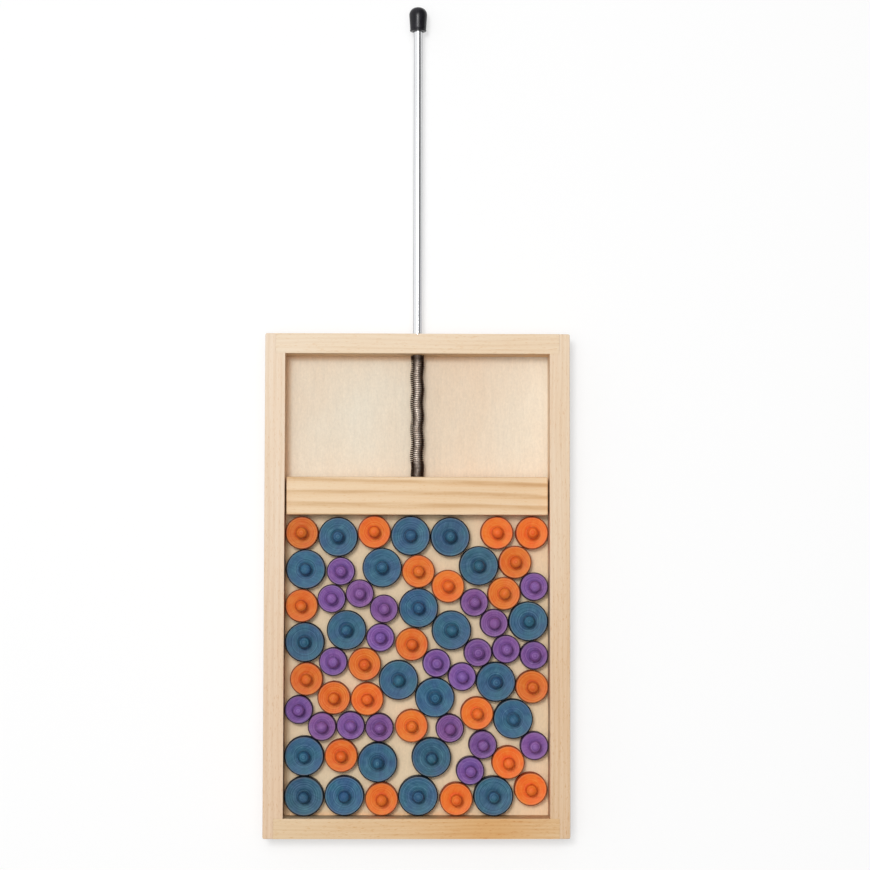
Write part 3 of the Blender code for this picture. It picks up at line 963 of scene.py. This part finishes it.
def disc_outline(radius, thickness):
    """A disc with eased edges, a dished face with turned lines, a cove and a ball knob on a neck."""
    outline = [(0, 0), (FOOT_MIDDLE * radius, 0), (radius - FOOT_FLAT, 0)]
    outline += arc((radius - FOOT_EASING, FOOT_EASING), FOOT_EASING, *FOOT_TURN, FOOT_STEPS)
    outline += [(radius, share * thickness) for share in SIDE_STEPS]
    face_out = radius - RIM_FILLET
    outline += arc((face_out, thickness - RIM_FILLET), RIM_FILLET, *RIM_TURN, RIM_STEPS)
    face_steps = round((face_out - COVE_OUT) / LINE_SPACING)
    for step in range(1, face_steps + 1):
        share = step / face_steps
        line = TURNED_LINE * rng.uniform(-1, 1)
        place = face_out + (COVE_OUT - face_out) * share
        outline.append((place, thickness - DISH * share ** DISH_CURVE + line))
    face = thickness - DISH
    for step in range(1, COVE_STEPS + 1):
        share = step / COVE_STEPS
        place = COVE_OUT + (NECK_RADIUS + NECK_FOOT - COVE_OUT) * share
        outline.append((place, face - COVE_DIP * math.sin(math.pi * share) + COVE_DIP * share ** 3))
    outline += [(NECK_RADIUS + wider, face + height) for wider, height in NECK_SHAPE]
    ball = (0, face + KNOB_HEIGHT - KNOB_RADIUS)
    start = -math.degrees(math.acos(NECK_RADIUS / KNOB_RADIUS))
    outline += arc(ball, KNOB_RADIUS, start, 90, KNOB_STEPS)
    outline[-1] = (0, face + KNOB_HEIGHT)
    return outline


def crowns(name):
    """The places of the knob crowns on a CAD node, one for each of its discs."""
    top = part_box(name)[1].z
    found = []
    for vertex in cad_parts[name].data.vertices:
        place = vertex.co.xy
        is_crown = vertex.co.z > top - CROWN_DROP
        if is_crown and all((place - other).length > CROWN_APART for other in found):
            found.append(place.copy())
    return found


def tinted(tint):
    """A disc's own shade of a dye: some lighter or darker, some warmer or cooler."""
    level = rng.uniform(*SHADE_LEVELS)
    warm = rng.uniform(*SHADE_WARMTH)
    red, green, blue, _ = tint
    return (red * level * (1 + warm), green * level, blue * level * (1 - warm), 1)


def make_discs(dye_name, dye):
    low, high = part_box(dye_name + "_disc_01")
    radius = (high.x - low.x) / 2 + DISC_SPARE
    foot = FLOOR_Z + REST_GAP
    thickness = high.z - (KNOB_HEIGHT - DISH) - foot
    mesh = lathe(dye_name + "_turned", disc_outline(radius, thickness), DISC_SIDES)
    mesh.materials.append(stain_material(dye_name + "_dye", radius, thickness, dye))
    number = 0
    for name in sorted(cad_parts):
        if not name.startswith(dye_name + "_"):
            continue
        for place in crowns(name):
            number += 1
            disc = link("%s_turned_%02d" % (dye_name, number), mesh)
            disc.location = (place.x, place.y, foot)
            disc.rotation_euler.z = rng.uniform(0, 2 * math.pi)
            disc.color = tinted(dye.tint)
            disc.pass_index = number
            dress(disc, name, dye_name + "_stain", name)


# Floor, whose glow makes it white to the camera from near the tray to far away
FLOOR_SIZE = 8
FLOOR_ALBEDO = 0.5
FLOOR_ROUGHNESS = 0.9
FLOOR_GLOW = 0.515
FAR_GLOW = 0.93
FADE_START = 0.6
FADE_END = 3.0

# Lamps
KEY_PLACE = (-0.31, 0.37, 2.2)
KEY_SIZE = 0.4
KEY_POWER = 17.1
OVERHEAD_PLACE = (-0.15, 0.15, 2.4)
OVERHEAD_SIZE = 1.7
OVERHEAD_POWER = 22

# World: the sky that reflections show, from left to right, and the fill light from the upper left
SKY_LEFT = 1.0
SKY_GAP = 0.2
SKY_RIGHT = 0.32
GAP_STARTS = (0.15, 0.42)
GAP_ENDS = (0.6, 0.8)
FILL_BRIGHT = 0.44
FILL_DIM = 0.14
FILL_RANGE = (-0.9, 0.9)
SEEN_WHITE = 1.0

# Camera: the photo's size and focal length in pixels, and the turns in degrees
PHOTO_PIXELS = 870
FOCAL_PIXELS = 2400
SENSOR = 36
CAMERA_PLACE = (-0.01913, 0.0076, 1.4707)
CAMERA_TURN = (3.269, -1.183, 0.111)


def ray_kinds(tree):
    """Whether a ray comes from the camera, and whether from a reflection or clear glass, as 0 or 1."""
    path = node(tree, "LightPath").outputs
    either = calc(tree, "ADD", path["Is Glossy Ray"], path["Is Transmission Ray"])
    return path["Is Camera Ray"], calc(tree, "MINIMUM", either, 1.0)


def make_floor():
    half = FLOOR_SIZE / 2
    mesh = bpy.data.meshes.new("floor")
    points = [(x, y, -REST_GAP) for x, y in rectangle(-half, -half, half, half)]
    mesh.from_pydata(points, [], [(0, 1, 2, 3)])
    material, tree, shader = new_material("white_floor")
    x, y, _ = object_place(tree)
    glow = remap(tree, distance(tree, x, y), FADE_START, FADE_END, FLOOR_GLOW, FAR_GLOW)
    seen = calc(tree, "MINIMUM", calc(tree, "ADD", *ray_kinds(tree)), 1.0)
    fill(tree, shader, {
        "Base Color": (FLOOR_ALBEDO, FLOOR_ALBEDO, FLOOR_ALBEDO, 1),
        "Roughness": FLOOR_ROUGHNESS,
        "Specular IOR Level": 0,
        "Emission Color": (1, 1, 1, 1),
        "Emission Strength": calc(tree, "MULTIPLY", seen, glow),
    })
    mesh.materials.append(material)
    link("floor", mesh)


def add_lamp(name, place, size, power):
    """A round lamp that shines at the middle of the tray."""
    data = bpy.data.lights.new(name, "AREA")
    data.shape = "DISK"
    data.size = size
    data.energy = power
    lamp = link(name, data)
    lamp.location = place
    lamp.rotation_euler = Vector(place).to_track_quat("Z", "Y").to_euler()
    lamp.visible_camera = False


def make_light():
    """A lamp at the upper left, a broad soft one overhead, and a world that differs by kind of ray.

    The camera sees plain white, reflections see a sky with a dark gap and a grey part on the right, and
    the rest of the light is a soft fill that is brighter from the upper left.
    """
    add_lamp("key", KEY_PLACE, KEY_SIZE, KEY_POWER)
    add_lamp("overhead", OVERHEAD_PLACE, OVERHEAD_SIZE, OVERHEAD_POWER)
    world = bpy.data.worlds.new("studio")
    scene.world = world
    world.use_nodes = True
    tree = world.node_tree
    direction = split(tree, node(tree, "TexCoord").outputs["Generated"])
    sky = remap(tree, direction[0], *GAP_STARTS, SKY_LEFT, SKY_GAP)
    sky = calc(tree, "ADD", sky, remap(tree, direction[0], *GAP_ENDS, 0.0, SKY_RIGHT - SKY_GAP))
    upper_left = calc(tree, "SUBTRACT", direction[1], direction[0])
    soft_fill = remap(tree, upper_left, *FILL_RANGE, FILL_DIM, FILL_BRIGHT)
    from_camera, mirrored = ray_kinds(tree)
    level = between(tree, mirrored, soft_fill, sky)
    level = between(tree, from_camera, level, SEEN_WHITE)
    fill(tree, tree.nodes["Background"], {"Color": (1, 1, 1, 1), "Strength": level})


def make_camera():
    data = bpy.data.cameras.new("camera")
    data.sensor_width = SENSOR
    data.lens = FOCAL_PIXELS / PHOTO_PIXELS * SENSOR
    camera = link("camera", data)
    camera.location = CAMERA_PLACE
    camera.rotation_euler = [math.radians(angle) for angle in CAMERA_TURN]
    scene.camera = camera


make_camera()
make_floor()
make_light()
make_tray()
make_bar()
make_rod()
make_cap()
make_spring()
for dye_name, dye in DYES.items():
    make_discs(dye_name, dye)
scene.view_settings.view_transform = "Standard"
